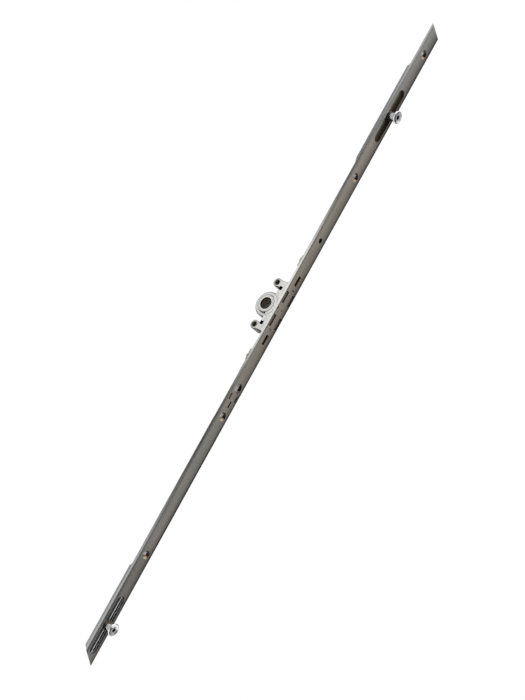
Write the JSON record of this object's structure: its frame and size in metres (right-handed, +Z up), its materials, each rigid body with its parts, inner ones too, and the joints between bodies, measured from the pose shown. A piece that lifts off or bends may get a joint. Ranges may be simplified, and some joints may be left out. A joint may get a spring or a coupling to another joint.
{
  "type": "window espagnolette gearbox",
  "caption": "Long slim window lock: a steel faceplate with a die-cast gearbox on its back, whose square-bored nut drives a sliding rod with mushroom locking cams.",
  "frame": {"origin": "on the handle spindle's axis, in the casing's middle plane", "axes": "+Z up along the faceplate towards its upper end, +X across the faceplate's width, -Y out of the faceplate's front towards the frame"},
  "size_m": [0.016, 0.0362, 0.6489],
  "materials": {
    "faceplate_steel": "rolled, dull silver coat",
    "casing_zinc": "bright die-cast zinc",
    "nut_zinc": "die-cast zinc, oiled",
    "rod_steel": "zinc plated",
    "rivet_steel": "bright rivets",
    "guide_nylon": "black nylon",
    "collar_brass": "brown, dull",
    "stud_steel": "turned steel",
    "roller_steel": "bright nickel"
  },
  "bodies": {
    "lock_case": {"faceplate": "faceplate_steel", "gearbox_cover": "casing_zinc", "gearbox_housing": "casing_zinc", "housing_rivets": "rivet_steel", "upper_rod_guide": "guide_nylon", "lower_rod_guide": "guide_nylon"},
    "nut": {"drive_nut": "nut_zinc"},
    "drive_bar": {"drive_rack": "rod_steel", "upper_drive_rod": "rod_steel", "lower_drive_rod": "rod_steel", "upper_rack_rivets": "rivet_steel", "lower_rack_rivets": "rivet_steel", "upper_cam_collar": "collar_brass", "lower_cam_collar": "collar_brass", "upper_cam_washer": "rivet_steel", "lower_cam_washer": "rivet_steel"},
    "upper_stud": {"upper_cam_stud": "stud_steel"},
    "lower_stud": {"lower_cam_stud": "stud_steel"},
    "upper_roller": {"upper_cam_roller": "roller_steel"},
    "lower_roller": {"lower_cam_roller": "roller_steel"}
  },
  "joints": [
    {"name": "rod_slide", "type": "slide", "parent": "lock_case", "child": "drive_bar", "axis": [0, 0, 1], "range_m": [-0.016, 0.016]},
    {"name": "nut_turn", "type": "hinge", "parent": "lock_case", "child": "nut", "pos_m": [0, 0, 0], "axis": [1, 0, 0], "range_deg": [-90, 90]},
    {"name": "upper_cam_adjust", "type": "hinge", "parent": "drive_bar", "child": "upper_stud", "pos_m": [0, -0.015, 0.2045], "axis": [0, -1, 0], "range_deg": [-90, 90]},
    {"name": "upper_roller_spin", "type": "hinge", "parent": "upper_stud", "child": "upper_roller", "pos_m": [0, -0.02, 0.2053], "axis": [0, -1, 0], "continuous": true},
    {"name": "lower_cam_adjust", "type": "hinge", "parent": "drive_bar", "child": "lower_stud", "pos_m": [0, -0.015, -0.3115], "axis": [0, -1, 0], "range_deg": [-90, 90]},
    {"name": "lower_roller_spin", "type": "hinge", "parent": "lower_stud", "child": "lower_roller", "pos_m": [0, -0.02, -0.3123], "axis": [0, -1, 0], "continuous": true}
  ],
  "couplings": [
    {"joint": "nut_turn", "follows": "rod_slide", "rad_per_m": -98.039}
  ]
}
